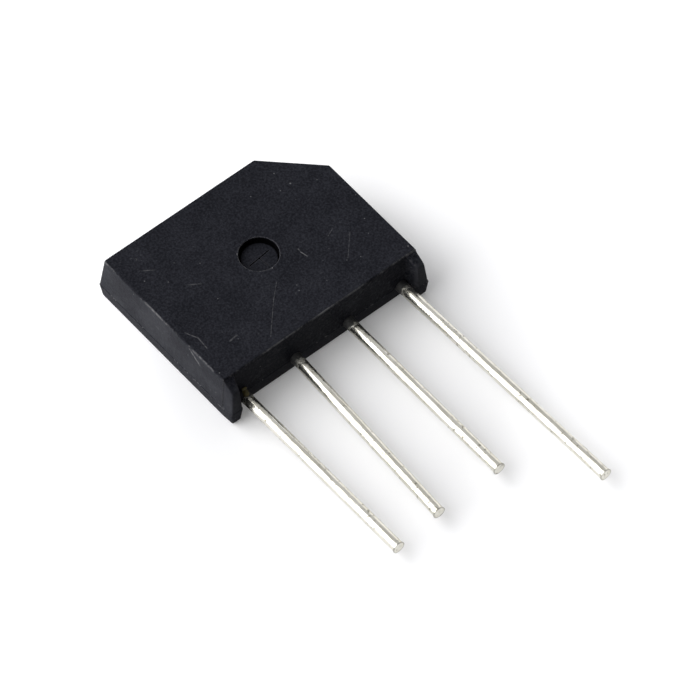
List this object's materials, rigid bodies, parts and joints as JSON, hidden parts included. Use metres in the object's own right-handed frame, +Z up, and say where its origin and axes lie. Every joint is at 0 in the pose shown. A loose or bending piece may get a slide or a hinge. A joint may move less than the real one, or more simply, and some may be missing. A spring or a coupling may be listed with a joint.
{
  "type": "bridge rectifier",
  "caption": "Flat moulded bridge rectifier with a cut corner, a round sunk mark, two stand-off feet and a row of round tinned leads, the plus lead longest.",
  "frame": {"origin": "centre of the moulding's underside, measured on the block without its feet", "axes": "+X along the row of leads from minus to plus, -Y the way the leads leave, +Z up through the broad top face with the round sunk mark"},
  "size_m": [0.0144, 0.0282, 0.0034],
  "materials": {
    "moulding": "matt moulded epoxy, charcoal black",
    "tinned_wire": "bright tin plating on copper wire",
    "silicon": "satin, etched edges",
    "solder": "dull solder"
  },
  "bodies": {
    "root": {"moulded_body": "moulding", "lead_minus": "tinned_wire", "lead_ac_left": "tinned_wire", "lead_ac_right": "tinned_wire", "lead_plus": "tinned_wire", "die_minus_left": "silicon", "solder_under_minus_left": "solder", "solder_over_minus_left": "solder", "die_plus_left": "silicon", "solder_under_plus_left": "solder", "solder_over_plus_left": "solder", "die_minus_right": "silicon", "solder_under_minus_right": "solder", "solder_over_minus_right": "solder", "die_plus_right": "silicon", "solder_under_plus_right": "solder", "solder_over_plus_right": "solder"}
  },
  "joints": []
}
